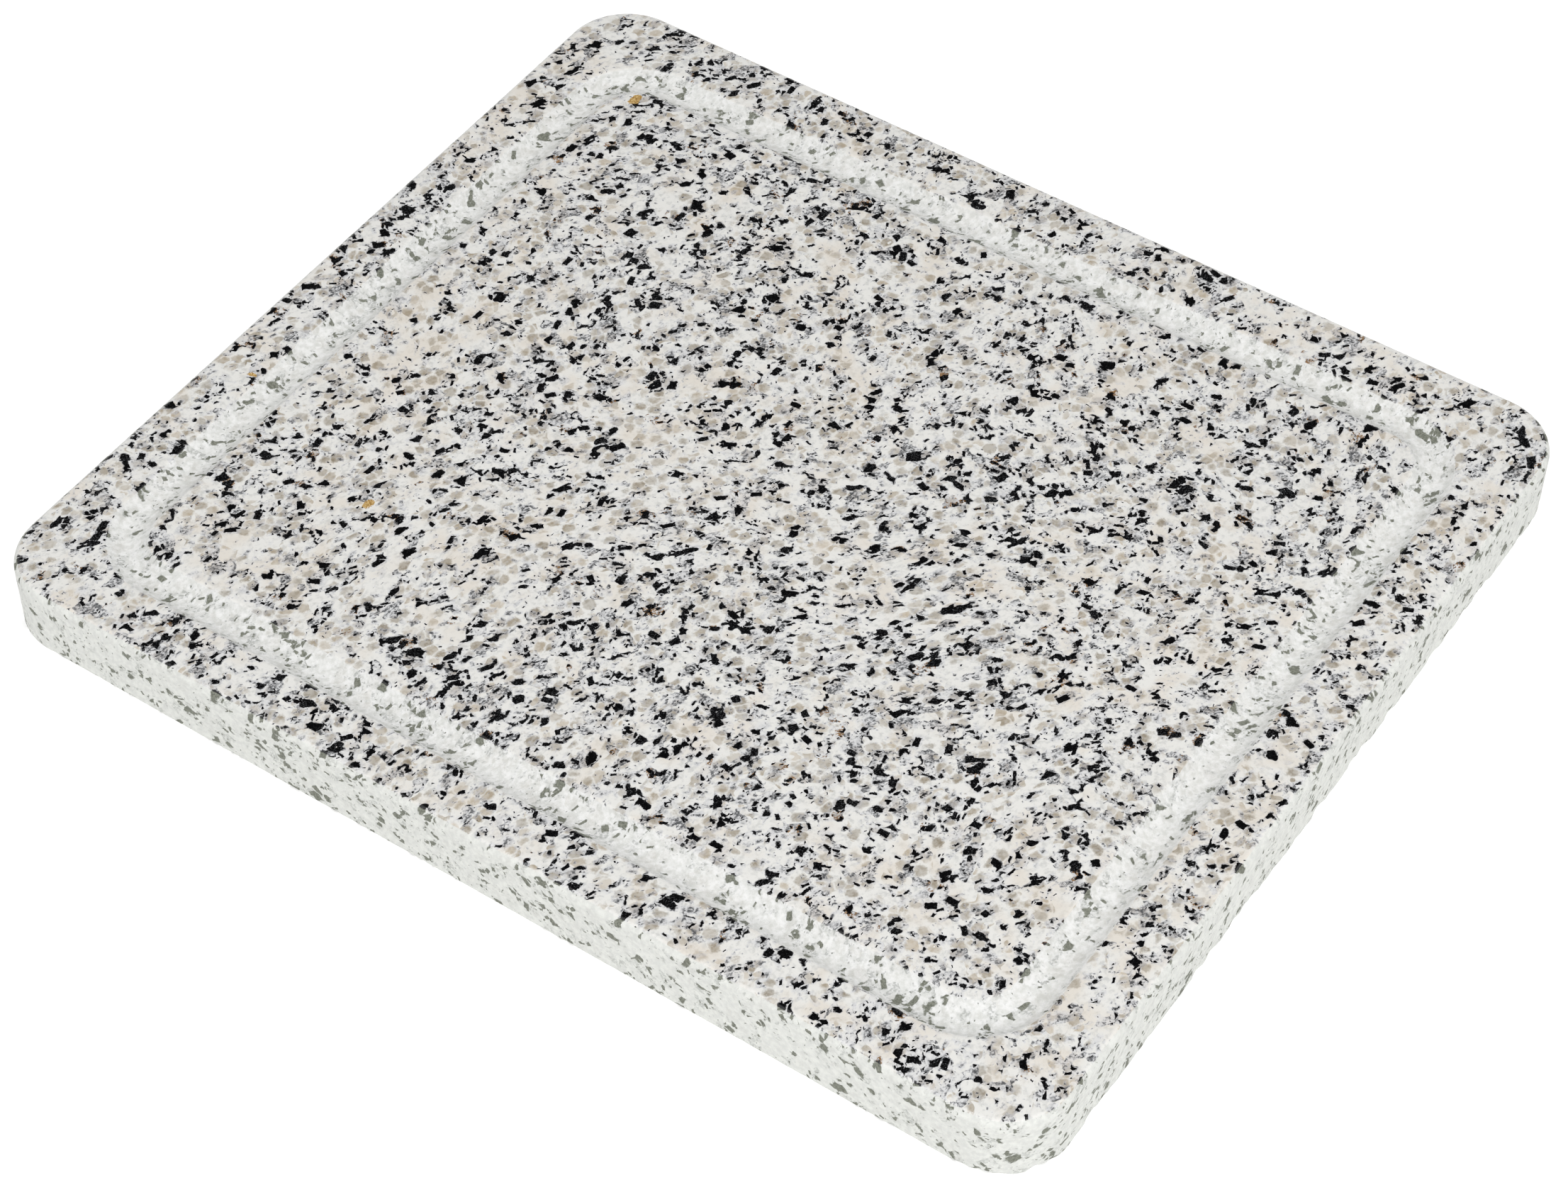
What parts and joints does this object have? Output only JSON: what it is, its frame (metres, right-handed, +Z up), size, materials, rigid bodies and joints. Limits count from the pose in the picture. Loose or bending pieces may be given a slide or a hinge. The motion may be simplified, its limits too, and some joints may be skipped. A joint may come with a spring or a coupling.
{
  "type": "granite slab",
  "caption": "Rectangular polished granite slab with rounded corners and a shallow drip groove round its top.",
  "frame": {"origin": "centre of the underside", "axes": "+X along the long edge, +Y along the short edge, +Z up out of the polished top"},
  "size_m": [0.3, 0.262, 0.02],
  "materials": {
    "granite": "polished top, ground sides and groove, sawn underside"
  },
  "bodies": {
    "root": {"granite_slab": "granite"}
  },
  "joints": []
}
